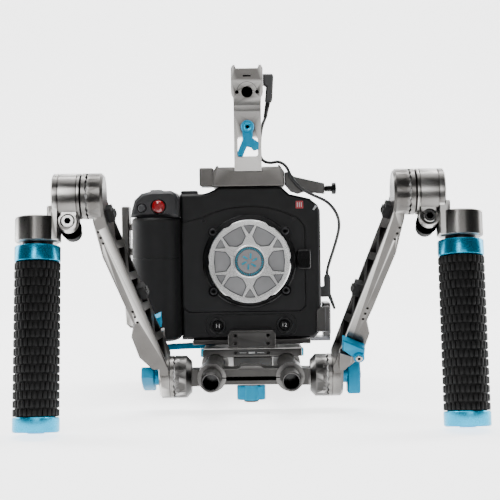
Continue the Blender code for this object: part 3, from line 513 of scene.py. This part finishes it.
def turned_part(name, profile, centre, axis, finish, body, place=RIG, count=64,
                replaces=None):
    """profile runs from one end of the axis to the other in (radius, height)."""
    shape = bmesh.new()
    rings = []
    for radius, height in profile:
        ring = []
        for i in range(count):
            angle = 2 * math.pi * i / count
            a = centre[0] + radius * math.cos(angle)
            b = centre[1] + radius * math.sin(angle)
            ring.append(shape.verts.new(axis_point(a, b, height, axis)))
        rings.append(ring)
    for low, high in zip(rings, rings[1:]):
        for i in range(count):
            j = (i + 1) % count
            shape.faces.new((low[i], low[j], high[j], high[i]))
    shape.faces.new(rings[0])
    shape.faces.new(rings[-1])
    return finished_piece(name, shape, finish, body, place, replaces=replaces)


def cut_part(name, outlines, axis, low, high, finish, body, slot, place=RIG, edge_mm=0.0):
    """Each outline, pushed from low to high along the axis; all in one piece."""
    shape = bmesh.new()
    for outline in outlines:
        ends = [[shape.verts.new(axis_point(a, b, h, axis)) for a, b in outline]
                for h in (low, high)]
        shape.faces.new(ends[0])
        shape.faces.new(ends[1])
        for i in range(len(outline)):
            j = (i + 1) % len(outline)
            shape.faces.new((ends[0][i], ends[0][j], ends[1][j], ends[1][i]))
    return finished_piece(name, shape, finish, body, place, edge_mm)


def rectangle(x0, x1, z0, z1):
    return [(x0, z0), (x1, z0), (x1, z1), (x0, z1)]


def polygon(cx, cz, radius, count, turn=0.0):
    return [(cx + radius * math.cos(turn + 2 * math.pi * i / count),
             cz + radius * math.sin(turn + 2 * math.pi * i / count)) for i in range(count)]


def printed(name, words, x, z, face_y, height_mm, finish, body):
    """Numerals printed on a face that looks along -Y, 0.05 mm thick."""
    font = bpy.data.curves.new(name, "FONT")
    font.body = words
    font.size = height_mm * 1.4 * MM
    font.align_x = "CENTER"
    font.align_y = "CENTER"
    font.extrude = 0.05 * MM
    font.resolution_u = 3
    text = bpy.data.objects.new(f"{name}_font", font)
    bpy.context.collection.objects.link(text)
    bpy.context.view_layer.update()
    graph = bpy.context.evaluated_depsgraph_get()
    mesh = bpy.data.meshes.new_from_object(text.evaluated_get(graph))
    bpy.data.objects.remove(text)
    mesh.transform(Matrix.Translation(Vector((x, face_y, z)) * MM)
                   @ Matrix.Rotation(math.pi / 2, 4, "X"))
    mesh.materials.clear()
    mesh.materials.append(finish)
    piece = bpy.data.objects.new(name, mesh)
    bpy.context.collection.objects.link(piece)
    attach(piece, body)
    return piece


# %% [markdown]
# ## The grips
#
# Each handle wears a moulded rubber sleeve. Its surface is a brickwork of small pads, eighteen rows
# of twenty-eight, each row turned by half a pad, with grooves that let sweat out. The sleeve body
# sits a little deeper, so that the grooves read dark and the outline looks scalloped. Geometry
# Nodes lays out the pads: one number per pad gives its row and its place in the row, and those give
# angle and height.

# %% A pad, and the node tree that lays it out
GRIP_X, GRIP_TOP, GRIP_END = 148.3, -46.7, -154.0
PAD_ROWS, PAD_COUNT, SLEEVE_R = 18, 28, 14.7

pad_shape = bmesh.new()
bmesh.ops.create_cube(pad_shape, size=1.0)
bmesh.ops.scale(pad_shape, vec=(1.9 * MM, 2.75 * MM, 5.0 * MM), verts=pad_shape.verts)
bmesh.ops.bevel(pad_shape, geom=pad_shape.edges[:], offset=0.45 * MM, segments=1,
                affect="EDGES")
pad_mesh = bpy.data.meshes.new("pad")
pad_shape.to_mesh(pad_mesh)
pad_shape.free()
pad_mesh.shade_smooth()
pad = bpy.data.objects.new("pad", pad_mesh)
bpy.context.collection.objects.link(pad)


def math_node(tree, operation, first, second=0.0):
    return add_node(tree, "ShaderNodeMath", {"operation": operation}, _0=first,
                    _1=second).outputs[0]


def pad_tree():
    tree = bpy.data.node_groups.new("sleeve_pads", "GeometryNodeTree")
    panel = tree.interface
    panel.new_socket("Geometry", in_out="OUTPUT", socket_type="NodeSocketGeometry")
    names = (("Rows", "Int"), ("Per Row", "Int"), ("Radius", "Float"), ("Top", "Float"),
             ("Row Pitch", "Float"), ("Pad", "Object"), ("Finish", "Material"))
    for label, kind in names:
        panel.new_socket(label, in_out="INPUT", socket_type=f"NodeSocket{kind}")
    given = tree.nodes.new("NodeGroupInput").outputs
    index = add_node(tree, "GeometryNodeInputIndex").outputs[0]
    row = math_node(tree, "FLOOR", math_node(tree, "DIVIDE", index, given["Per Row"]))
    half = math_node(tree, "MULTIPLY", math_node(tree, "MODULO", row, 2.0), 0.5)
    place = math_node(tree, "ADD", math_node(tree, "MODULO", index, given["Per Row"]), half)
    turn = math_node(tree, "DIVIDE", math_node(tree, "MULTIPLY", place, 2 * math.pi),
                     given["Per Row"])
    x = math_node(tree, "MULTIPLY", math_node(tree, "COSINE", turn), given["Radius"])
    y = math_node(tree, "MULTIPLY", math_node(tree, "SINE", turn), given["Radius"])
    down = math_node(tree, "MULTIPLY", math_node(tree, "ADD", row, 0.5), given["Row Pitch"])
    z = math_node(tree, "SUBTRACT", given["Top"], down)
    spot = add_node(tree, "ShaderNodeCombineXYZ", X=x, Y=y, Z=z).outputs[0]
    spin = add_node(tree, "ShaderNodeCombineXYZ", Z=turn).outputs[0]
    total = math_node(tree, "MULTIPLY", given["Rows"], given["Per Row"])
    points = add_node(tree, "GeometryNodePoints", Count=total, Position=spot)
    shape = add_node(tree, "GeometryNodeObjectInfo", Object=given["Pad"])
    spread = add_node(tree, "GeometryNodeInstanceOnPoints", Points=points.outputs[0],
                      Instance=shape.outputs["Geometry"], Rotation=spin)
    real = add_node(tree, "GeometryNodeRealizeInstances", Geometry=spread.outputs[0])
    dressed = add_node(tree, "GeometryNodeSetMaterial", Geometry=real.outputs[0],
                       Material=given["Finish"])
    out = tree.nodes.new("NodeGroupOutput")
    tree.links.new(dressed.outputs[0], out.inputs[0])
    return tree


# %% Two sleeves
sleeve_tree = pad_tree()
sockets = {item.name: item.identifier for item in sleeve_tree.interface.items_tree
           if item.in_out == "INPUT"}
for side, sign in SIDES:
    body = f"handle_{side}"
    holder = bpy.data.objects.new("pad_holder", bpy.data.meshes.new("pad_holder"))
    bpy.context.collection.objects.link(holder)
    layout = holder.modifiers.new("layout", "NODES")
    layout.node_group = sleeve_tree
    for label, value in (("Rows", PAD_ROWS), ("Per Row", PAD_COUNT), ("Radius", 15.1 * MM),
                         ("Top", GRIP_TOP * MM), ("Pad", pad), ("Finish", RUBBER),
                         ("Row Pitch", (GRIP_TOP - GRIP_END) / PAD_ROWS * MM)):
        layout[sockets[label]] = value
    graph = bpy.context.evaluated_depsgraph_get()
    mesh = bpy.data.meshes.new_from_object(holder.evaluated_get(graph))
    bpy.data.objects.remove(holder)
    place = HANDLE @ Matrix.Translation((sign * GRIP_X, 0, 0))
    mesh.transform(Matrix.Scale(MM, 4) @ place @ Matrix.Scale(1 / MM, 4))
    pads = bpy.data.objects.new(f"sleeve_pads_{side}", mesh)
    bpy.context.collection.objects.link(pads)
    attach(pads, body)
    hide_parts(f"grip_rubber_{side}")
    centre = (sign * GRIP_X, 0)
    turned_part(f"sleeve_{side}", [(13.0, GRIP_END), (SLEEVE_R, GRIP_END + 0.6),
                                   (SLEEVE_R, GRIP_TOP - 0.6), (13.0, GRIP_TOP)],
                centre, "Z", RUBBER, body, HANDLE, replaces=f"grip_rubber_{side}")
    # The collars are turned bar: a bright ring with a small chamfer at both edges.
    turned_part(f"collar_{side}", [(14.9, -46.7), (15.6, -46.4), (16.1, -45.9), (16.1, -36.2),
                                   (15.7, -35.6), (15.0, -35.3), (11.2, -35.2)],
                centre, "Z", BLUE, body, HANDLE,
                replaces=f"grip_collar_{side}")
    turned_part(f"collar_neck_{side}", [(12.4, -35.3), (12.4, -34.6), (10.6, -34.5),
                                        (10.6, -33.1)],
                centre, "Z", BLACK_STEEL, body, HANDLE)
    turned_part(f"end_ring_{side}", [(5.4, -165.2), (6.0, -164.7), (14.9, -164.6),
                                     (15.9, -163.9), (16.3, -163.2), (16.3, -154.8),
                                     (15.7, -154.0)],
                centre, "Z", BLUE, body, HANDLE, replaces=f"grip_end_{side}")
bpy.data.objects.remove(pad)
print(PAD_ROWS * PAD_COUNT, "pads on each sleeve,", len(mesh.polygons), "faces")

# %% [markdown]
# ## The lens cap
#
# The cap is cut from one disc. The cutter leaves ribs and a rim at full height and pockets between
# them with a matt floor; the rim and ribs are then lapped bright. The solid already has the
# pockets, so its faces only need to be told apart by where they lie: floors by depth, pocket walls
# by direction. Floors and walls take darker colours as painted shade, and a dark line of painted
# shade runs round the foot of each pocket. The middle holds a printed disc with ticks round a plain
# six-blade mark.

# %% Cap faces and centre disc
CAP_Z = 97.7
cap = crisp("lens_cap", CAP_METAL)


def cap_radius(place):
    return math.hypot(place.x, place.z - CAP_Z)


# Pocket floors: a matt face, and a darker colour that is painted shade.
floors = repaint(cap, POCKET_METAL,
                 lambda p, n: -45.8 < p.y < -45.0 and n.y < -0.9 and cap_radius(p) < 32)
# Pocket walls take the dark grey: painted shade.
walls = repaint(cap, DARK_METAL,
                lambda p, n: -46.9 < p.y < -45.45 and abs(n.y) < 0.5 and cap_radius(p) < 32)
# A dark line runs along the foot of each pocket's wall: painted shade in the corner.
for i in range(12):
    turn = math.radians(30 * i)
    wide = ((16.1, -2.5), (19.8, -7.9), (28.7, -8.9), (29.4, 0), (28.7, 8.9), (19.8, 7.9),
            (16.1, 2.5))
    small = ((23.3, 0), (29.9, -4.2), (30.2, 0), (29.9, 4.2))
    loop = [Vector((a * math.cos(turn) - b * math.sin(turn), -45.55,
                    CAP_Z + a * math.sin(turn) + b * math.cos(turn))) * MM
            for a, b in (small if i % 2 else wide)]
    line_piece(f"pocket_outline_{i + 1}", loop, 0.32 * MM, BLACK_STEEL, "lens_cap",
               closed=True, sides=1)
centre = (0, CAP_Z)
turned_part("cap_centre_ring", [(13.9, -46.95), (13.9, -47.15), (13.5, -47.3), (12.6, -47.3),
                                (12.4, -46.9)], centre, "Y", CAP_METAL, "lens_cap")
turned_part("cap_disc", [(12.4, -46.6), (12.4, -47.22)], centre, "Y", BLACK_STEEL, "lens_cap")
turned_part("cap_disc_face", [(10.0, -47.2), (10.0, -47.3)], centre, "Y", POCKET_METAL,
            "lens_cap")
ticks = []
for i in range(48):
    turn = 2 * math.pi * i / 48
    c, s = math.cos(turn), math.sin(turn)
    long = 10.4 if i % 4 else 10.1
    corners = ((long, -0.32), (11.9, -0.32), (11.9, 0.32), (long, 0.32))
    ticks.append([(a * c - b * s, CAP_Z + a * s + b * c) for a, b in corners])
cut_part("cap_ticks", ticks, "Y", -47.32, -47.2, CYAN_INK, "lens_cap", "blue_anodised")
blades = []
for i in range(6):
    turn = 2 * math.pi * i / 6
    c, s = math.cos(turn), math.sin(turn)
    blades.append([(a * c - b * s, CAP_Z + a * s + b * c)
                   for a, b in ((2.6, -0.3), (6.6, 1.6), (6.2, 3.2), (2.2, 0.9))])
cut_part("cap_mark", blades, "Y", -47.38, -47.29, CYAN_INK, "lens_cap", "blue_anodised")
print("cap:", floors, "floor faces,", walls, "wall faces")

# %% [markdown]
# ## The camera's face
#
# What makes a moulded body look real is its small breaks: polished rings round the mount with a
# screw in each corner, two pinholes for the microphones, a raised line that frames the two front
# buttons, and seams where two mouldings meet. Rings and seams are thin round lines laid on the
# surface, and screws are turned discs with a dark six-sided socket.

# %% Rings, screws and seams
MOUNT_Z = 97.7


def ring_points(cx, cz, radius, y, count=96):
    return [Vector((cx + radius * math.cos(2 * math.pi * i / count), y,
                    cz + radius * math.sin(2 * math.pi * i / count))) * MM
            for i in range(count)]


def rounded_loop(x0, x1, z0, z1, radius, y):
    points = []
    corners = ((x1 - radius, z1 - radius), (x0 + radius, z1 - radius),
               (x0 + radius, z0 + radius), (x1 - radius, z0 + radius))
    for quarter, (cx, cz) in enumerate(corners):
        for i in range(9):
            angle = (quarter + i / 8) * math.pi / 2
            points.append(Vector((cx + radius * math.cos(angle), y,
                                  cz + radius * math.sin(angle))) * MM)
    return points


def socket_screw(name, centre, axis, face, out, radius, finish, body, slot, place=RIG):
    """A screw head 0.7 mm proud of a face, on the side out (+1 or -1), with a dark hex socket."""
    profile = [(radius, face - 0.2 * out), (radius, face + 0.4 * out),
               (radius * 0.9, face + 0.7 * out), (radius * 0.62, face + 0.7 * out),
               (radius * 0.55, face + 0.55 * out)]
    turned_part(name, profile, centre, axis, finish, body, place, 32)
    ends = sorted((face + 0.5 * out, face + 0.62 * out))
    cut_part(f"{name}_socket", [polygon(*centre, radius * 0.5, 6)], axis, *ends, VOID, body,
             slot, place)


for tag, radius, y, thick in (("outer", 38.7, -40.1, 0.75), ("inner", 36.3, -40.2, 0.5)):
    line_piece(f"mount_ring_{tag}", ring_points(0, MOUNT_Z, radius, y), thick * MM, SHINY_BLACK,
               "rig", closed=True)
for i, (x, z) in enumerate(((-30.5, -25), (30.5, -25), (-30.5, 25), (30.5, 25))):
    socket_screw(f"mount_screw_{i + 1}", (x, MOUNT_Z + z), "Y", -41.0, -1, 3.0, BLACK_STEEL,
                 "rig", "gloss_black")
# The two microphone pinholes are black discs on the face: painted shade inside the holes.
cut_part("microphones", [polygon(-38.5, 132.2, 1.3, 12), polygon(37.6, 133.0, 1.3, 12)], "Y",
         -34.4, -34.0, SHINY_BLACK, "rig", "gloss_black")
cut_part("badge", [rectangle(39.8, 46.2, 141.6, 148.0)], "Y", -35.3, -34.8, RED_INK, "rig",
         "record_red", edge_mm=0.15)
badge_lines = [rectangle(40.9 + 1.7 * i, 41.5 + 1.7 * i, 142.8, 146.8) for i in range(3)]
cut_part("badge_lines", badge_lines, "Y", -35.4, -35.25, WHITE_INK, "rig", "record_red")
cut_part("corner_chip", [[(54.0, 140.6), (55.4, 139.9), (57.8, 143.4), (56.4, 144.2)]], "Y",
         -35.4, -34.9, WHITE_INK, "rig", "camera_grey", edge_mm=0.15)
cut_part("top_lug", [rectangle(-57.5, -43.5, 154.6, 158.0)], "Y", -32.0, -8.0, CASING, "rig",
         "camera_black", edge_mm=0.6)
line_piece("button_frame", rounded_loop(-38, 39, 33.6, 52.2, 7.5, -35.0), 0.45 * MM, CASING,
           "rig", closed=True)
for side, x, words in (("left", -27.6, "11"), ("right", 28.8, "12")):
    line_piece(f"button_ring_{side}", ring_points(x, 43.0, 6.5, -36.0), 0.45 * MM, SHINY_BLACK,
               "rig", closed=True)
    printed(f"button_number_{side}", words, x, 43.0, -36.86, 3.4, WHITE_INK,
            f"front_button_{side}")
line_piece("record_ring", ring_points(-74.7, 144.4, 6.1, -58.1), 0.5 * MM, SHINY_BLACK, "rig",
           closed=True)
line_piece("photo_ring", ring_points(-88.4, 143.4, 3.7, -58.0), 0.35 * MM, SHINY_BLACK, "rig",
           closed=True)
seam = [(-59.2, -46.0)] + [(-79 + 19.05 * math.cos(math.radians(t)),
                            -45 - 19.05 * math.sin(math.radians(t))) for t in range(0, 181, 9)]
for z in (101.5, 134.6):
    line_piece(f"grip_seam_{round(z)}", [Vector((x, y, z)) * MM for x, y in seam + [(-100, 20)]],
               0.22 * MM, SHINY_BLACK, "rig")
release = rounded_loop(41.2, 50.9, MOUNT_Z - 6.5, MOUNT_Z + 8.5, 1.8, -40.95)
line_piece("release_rim", release, 0.35 * MM, SHINY_BLACK, "lens_release",
           closed=True)
print("camera face dressed")

# %% [markdown]
# ## Joints, clips and plates
#
# The metal side of the rig is held by visible screws. Each lever and barrel turns about one, the
# cage plate hangs on two, and threaded holes for accessories stand in rows on the plates. Two black
# cable clips sit on the inner edge of each arm. The clamping screw of each handle passes a black
# sleeve, and the rods are tapped at their ends, which shows as dark rings.

# %% Screws and clips
for side, sign in SIDES:
    socket_screw(f"ratchet_screw_{side}", (-127, 11.8), "X", sign * 84.0, sign, 3.4, STEEL,
                 f"ratchet_{side}", "steel")
    socket_screw(f"cam_screw_{side}", (sign * 80.5, 31.2), "Y", -sign * 23.0, -sign, 2.6,
                 STEEL, f"cam_lever_{side}", "steel", ARM)
    socket_screw(f"barrel_screw_{side}", (0, 0), "X", sign * 137.4, sign, 7.0, STEEL,
                 f"handle_{side}", "steel", HANDLE)
    screw_place = (HANDLE @ Matrix.Translation((sign * 126.0, 0, -20.8))
                   @ Matrix.Rotation(math.radians(-9), 4, "X"))
    turned_part(f"clamp_sleeve_{side}", [(7.0, -4.0), (7.7, -3.2), (7.7, 7.6), (7.2, 8.1)],
                (0, 0), "Y", VOID, f"handle_{side}", screw_place, 48)
    cut_part(f"clamp_socket_{side}", [polygon(0, 0, 2.5, 6)], "Y", -11.35, -11.1, VOID,
             f"handle_{side}", "steel", screw_place)
    clips, ridges = [], []
    for x, z in ((94.6, 140.6), (75.2, 75.0)):
        clips.append([(sign * a, b) for a, b in
                      ((x, z), (x + 6, z - 1.8), (x + 8.8, z + 8.0), (x + 2.9, z + 10.0))])
        ridges.append([(sign * a, b) for a, b in
                       ((x - 0.9, z + 2.6), (x + 1.5, z + 2.0), (x + 2.9, z + 6.8),
                        (x + 0.5, z + 7.4))])
    cut_part(f"cable_clips_{side}", clips, "Y", -5.0, 3.5, RUBBER, f"arm_{side}",
             "cable_black", ARM, edge_mm=0.4)
    cut_part(f"clip_ridges_{side}", ridges, "Y", -3.4, 2.0, SHINY_BLACK, f"arm_{side}",
             "cable_black", ARM, edge_mm=0.3)
    rings = (-166.0, -164.6, -163.2, -161.8, -160.4)
    for i, y in enumerate(rings):
        line_piece(f"rod_thread_{side}_{i + 1}", ring_points(sign * 30, 12, 6.05, y, 40),
                   0.3 * MM, BLACK_STEEL, "rig", closed=True, sides=1)
    # A black disc deep in each rod's bore: painted shade inside the tube.
    turned_part(f"rod_plug_{side}", [(6.05, -136.5), (6.05, -135.5)], (sign * 30, 12), "Y",
                SHINY_BLACK, "rig", count=32)
for i, z in enumerate((106, 128)):
    socket_screw(f"cage_screw_{i + 1}", (10, z), "X", -111.5, -1, 3.4, STEEL, "rig", "steel")
socket_screw("post_screw", (0, 199.4), "Y", -34.0, -1, 2.8, STEEL, "rig", "steel")
turned_part("post_screw_stem", [(1.6, -33.9), (1.6, -27.0)], (0, 199.4), "Y", STEEL, "rig",
            count=24)
socket_screw("post_lever_screw", (0, 210.4), "Y", -47.0, -1, 3.2, BLUE, "post_lever",
             "blue_anodised")
# The bore, the two pin holes, the slot and the engraved arc on the post are matt black: painted shade.
turned_part("post_bore", [(4.75, -31.5), (4.75, -31.0)], (0, 240), "Y", VOID, "rig",
            count=40)
cut_part("post_pins", [polygon(-8.5, 240, 1.6, 16), polygon(8.5, 240, 1.6, 16)], "Y", -42.02,
         -39.0, VOID, "rig", "titanium_grey")
cut_part("post_slot", [rectangle(-3.3, 3.3, 252.9, 254.1)], "Y", -42.02, -41.0, VOID, "rig",
         "titanium_grey")
arc = [Vector((8.5 * math.cos(math.radians(t)), -42.0, 240 + 8.5 * math.sin(math.radians(t))))
       * MM for t in range(14, 167, 8)]
line_piece("post_arc", arc, 0.18 * MM, VOID, "rig", sides=1)
run = cable_points[6] - cable_points[0]
boot_place = (Matrix.Translation(cable_points[0] / MM)
              @ run.to_track_quat("Z", "Y").to_matrix().to_4x4())
boot_end = run.length / MM
turned_part("strain_relief", [(2.1, 0.0), (2.1, 1.0), (1.6, boot_end - 0.6), (1.4, boot_end)],
            (0, 0), "Z", RUBBER, "rig", boot_place, 32)
# A matt black strip inside the bracket's slit: painted shade.
cut_part("bracket_slot", [rectangle(-23, 23, 9.4, 12.4)], "Y", -137.15, -136.8, VOID,
         "rig", "titanium_grey")
cut_part("base_spacer", [rectangle(-21.5, 21.5, 6.5, 17.0)], "Y", -43.5, -20.0, BASE_METAL,
         "rig", "titanium_grey", edge_mm=0.4)
marks = [rectangle(-9.4, -3.6, 20.6, 21.0), rectangle(5.4, 11.2, 20.6, 21.0),
         rectangle(-1.8, 3.6, 20.1, 21.5)]
cut_part("plate_marks", marks, "Y", -45.08, -44.9, WHITE_INK, "rig", "titanium_grey")
for side, x in (("left", -40.9), ("right", 43.3)):
    cut_part(f"plate_edge_{side}", [rectangle(x - 1.2, x + 1.2, 17.6, 24.2)], "Y", -44.6, -38.0,
             BLUE, "rig", "blue_anodised", edge_mm=0.3)
turned_part("knob_washer", [(7.6, 5.0), (7.6, 5.9)], (0, -127), "Z", BLACK_STEEL,
            "bracket_knob", count=48)
turned_part("knob_foot", [(5.4, -8.0), (5.8, -7.5), (5.8, -6.3)], (0, -127), "Z", BLACK_STEEL,
            "bracket_knob", count=48)
print("screws, clips and threads in place")

# %% [markdown]
# ## The sides, the back and the top
#
# Someone will turn the rig round, so the far sides need the same care. The handle on top has a
# ribbed rubber inlay, the plate has its rows of threaded holes, and the back of the camera has a
# vent, connectors behind small covers, a battery with finger ribs and a display on a hinge.

# %% Rear, side and top details
ribs = [rectangle(-8.6, 8.6, y, y + 3.4) for y in range(-6, 68, 6)]
cut_part("grip_inlay", ribs, "Z", 259.3, 260.1, RUBBER, "rig", "rubber", edge_mm=0.25)
# The threaded holes are drawn as black discs: painted shade inside the holes.
holes = [polygon(x, y, 2.4, 20) for x in (-21.5, 21.5) for y in (-22, -8, 6, 20, 34)]
cut_part("plate_threads", holes, "Z", 177.2, 177.42, SHINY_BLACK, "rig", "titanium_grey")
# The vent slots are black strips on the back: painted shade in the openings.
vents = [rectangle(26, 54, z, z + 2.2) for z in range(52, 112, 5)]
cut_part("rear_vents", vents, "Y", 74.8, 75.25, SHINY_BLACK, "rig", "camera_black")
cut_part("rear_covers", [rectangle(-54, -28, z, z + 15) for z in (46, 64, 82, 100)], "Y", 74.6,
         75.8, RUBBER, "rig", "camera_black", edge_mm=0.4)
cut_part("rear_display", [rectangle(-22, 22, 121, 147)], "Y", 74.6, 75.7, GLASS_BLACK, "rig",
         "gloss_black", edge_mm=0.4)
keys = [polygon(x, z, 2.6, 24) for x in (-46, -36, 34, 44) for z in (126, 140)]
cut_part("rear_keys", keys, "Y", 74.7, 76.2, GREY_CASE, "rig", "camera_grey", edge_mm=0.4)
cut_part("battery_ribs", [rectangle(-18, 14, z, z + 1.8) for z in range(52, 94, 5)], "Y", 98.8,
         99.7, CASING, "rig", "camera_black", edge_mm=0.3)
cut_part("battery_latch", [rectangle(-9, 5, 98, 104)], "Y", 98.8, 100.0, GREY_CASE, "rig",
         "camera_grey", edge_mm=0.4)
cut_part("monitor_back", [rectangle(13, 63.5, 84, 134)], "X", 60.0, 60.5, GREY_CASE, "monitor",
         "camera_grey", edge_mm=0.2)
cut_part("monitor_glass", [rectangle(13.4, 63.6, 85.4, 132.6)], "X", 54.9, 55.3, GLASS_BLACK,
         "monitor", "gloss_black")
side_keys = [polygon(y, z, 2.6, 24) for y in (-14, -2) for z in (58, 72, 86, 118, 132)]
cut_part("side_keys", side_keys, "X", 60.3, 61.2, GREY_CASE, "rig", "camera_grey", edge_mm=0.3)
# The side vent slots are black strips too: painted shade in the openings.
cut_part("side_vents", [rectangle(y, y + 2.4, 44, 68) for y in range(14, 66, 5)], "X", 60.3,
         60.7, SHINY_BLACK, "rig", "camera_black")
cut_part("strap_pad", [rectangle(-22, 44, 52, 118)], "X", -100.6, -99.8, LEATHERED, "rig",
         "camera_black", edge_mm=0.4)
dials = [polygon(-79, y, 5.4, 36) for y in (-20, 6, 30)]
cut_part("grip_dials", dials, "Z", 157.3, 159.4, CASING, "rig", "camera_black", edge_mm=0.5)
print("sides, back and top dressed")
